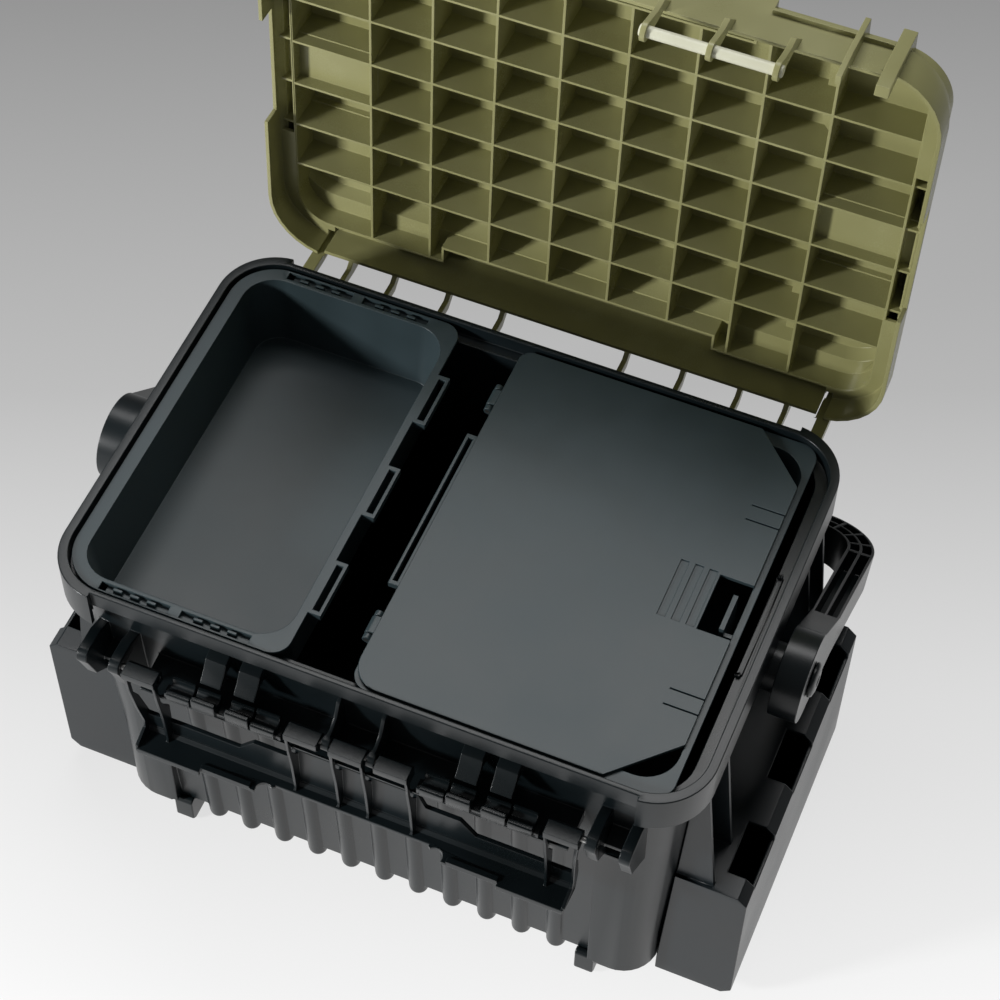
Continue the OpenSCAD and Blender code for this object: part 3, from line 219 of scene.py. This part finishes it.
def roundPiece(name, look):  # a merged copy of the CAD piece, with its edges rounded
    piece = bpy.data.objects.new(name + "Rounded", nodes[name].data.copy())
    scene.collection.objects.link(piece)
    bpy.ops.object.select_all(action="DESELECT")
    bpy.context.view_layer.objects.active = piece
    piece.select_set(True)
    bpy.ops.object.mode_set(mode="EDIT")
    bpy.ops.mesh.select_all(action="SELECT")
    bpy.ops.mesh.remove_doubles(threshold=edges["mergeWithin"])
    if "loose" not in look:
        bpy.ops.mesh.dissolve_limited(angle_limit=edges["flatWithin"])
    bpy.ops.object.mode_set(mode="OBJECT")
    bpy.ops.object.shade_smooth_by_angle(angle=edges["sharpFrom"])
    rounding = piece.modifiers.new("rounding", "BEVEL")
    rounding.width = look["edge"] / 1000
    rounding.segments = edges["segments"]
    rounding.limit_method = "ANGLE"
    rounding.angle_limit = edges["sharpFrom"]
    rounding.use_clamp_overlap = False
    bpy.ops.object.modifier_apply(modifier="rounding")
    evened = piece.modifiers.new("evened", "WEIGHTED_NORMAL")
    evened.weight = edges["faceWeight"]
    bpy.ops.object.modifier_apply(modifier="evened")
    piece.data.materials.clear()
    piece.data.materials.append(materials[look["finish"]])
    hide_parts(name)
    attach(piece, look["body"])


for name, look in dressing.items():
    roundPiece(name, look)
print("pieces rounded")

for name in nodes:
    if name not in dressing:
        nodes[name].data.materials.clear()
        nodes[name].data.materials.append(materials["platedSteel"])
print("screws and pins plated")

# the floor pales from far to near, a painted light falloff that is brightest near the camera; fadeAlong is
# the level direction away from the camera
floorLook = {
    "size": 12,
    "fadeAlong": (-0.396, 0.918),
    "nearEnd": -0.25,
    "farEnd": 0.70,
    "glow": 0.82,
    "tones": [(0.0, rgb(255, 255, 255)), (0.26, rgb(231, 231, 231)), (0.55, rgb(190, 190, 190)),
              (1.0, rgb(150, 150, 150))],
}


def addFloor():
    bpy.ops.object.select_all(action="DESELECT")
    bpy.ops.mesh.primitive_plane_add(size=floorLook["size"], location=(0, 0, 0))
    floor = bpy.context.object
    floor.name = "studioFloor"
    material, shade = newMaterial("paleFloor")
    place = shade.node("ShaderNodeTexCoord", out="Object")
    parts = shade.node("ShaderNodeSeparateXYZ", Vector=place)
    along = parts * floorLook["fadeAlong"][0] + parts.output("Y") * floorLook["fadeAlong"][1]
    paintedFalloff = shade.node("ShaderNodeMapRange", i0=along, i1=floorLook["nearEnd"], i2=floorLook["farEnd"],
                      i3=0.0, i4=1.0)
    # the ramp paints the light falloff across the floor: grey far away, white near
    colour = shade.node("ShaderNodeValToRGB", settings={"stops": floorLook["tones"]}, Fac=paintedFalloff)
    flat = shade.node("ShaderNodeBsdfDiffuse", Color=colour)
    glow = shade.node("ShaderNodeEmission", Color=colour, Strength=1.0)
    rays = shade.node("ShaderNodeLightPath")
    seen = rays.output("Is Camera Ray") + rays.output("Is Glossy Ray") + rays.output("Is Transmission Ray")
    share = seen.maths("MINIMUM", seen, 1.0) * floorLook["glow"]
    finishMaterial(shade, shade.node("ShaderNodeMixShader", i0=share, i1=flat, i2=glow))
    floor.data.materials.append(material)


# a low key lamp from the front left and a soft one over the back
lamps = {
    "keyLamp": {"place": (-1.75, -1.75, 1.05), "aim": (0, 0.05, 0.35), "size": (0.35, 0.35), "watts": 68},
    "topLamp": {"place": (-0.3, 1.0, 2.5), "aim": (0, 0, 0.1), "size": (2.2, 0.9), "watts": 34},
}
ambient = {"colour": (1, 1, 1, 1), "strength": 0.12}


def addLamp(name, look):
    data = bpy.data.lights.new(name, "AREA")
    data.shape = "RECTANGLE"
    data.size, data.size_y = look["size"]
    data.energy = look["watts"]
    lamp = bpy.data.objects.new(name, data)
    scene.collection.objects.link(lamp)
    lamp.location = look["place"]
    beam = Vector(look["aim"]) - Vector(look["place"])
    lamp.rotation_euler = beam.to_track_quat("-Z", "Y").to_euler()


addFloor()
for name, look in lamps.items():
    addLamp(name, look)

world = bpy.data.worlds.new("studio")
scene.world = world
world.use_nodes = True
sky = world.node_tree.nodes["Background"]
sky.inputs["Color"].default_value = ambient["colour"]
sky.inputs["Strength"].default_value = ambient["strength"]
scene.view_settings.view_transform = "Standard"
print("stage set")
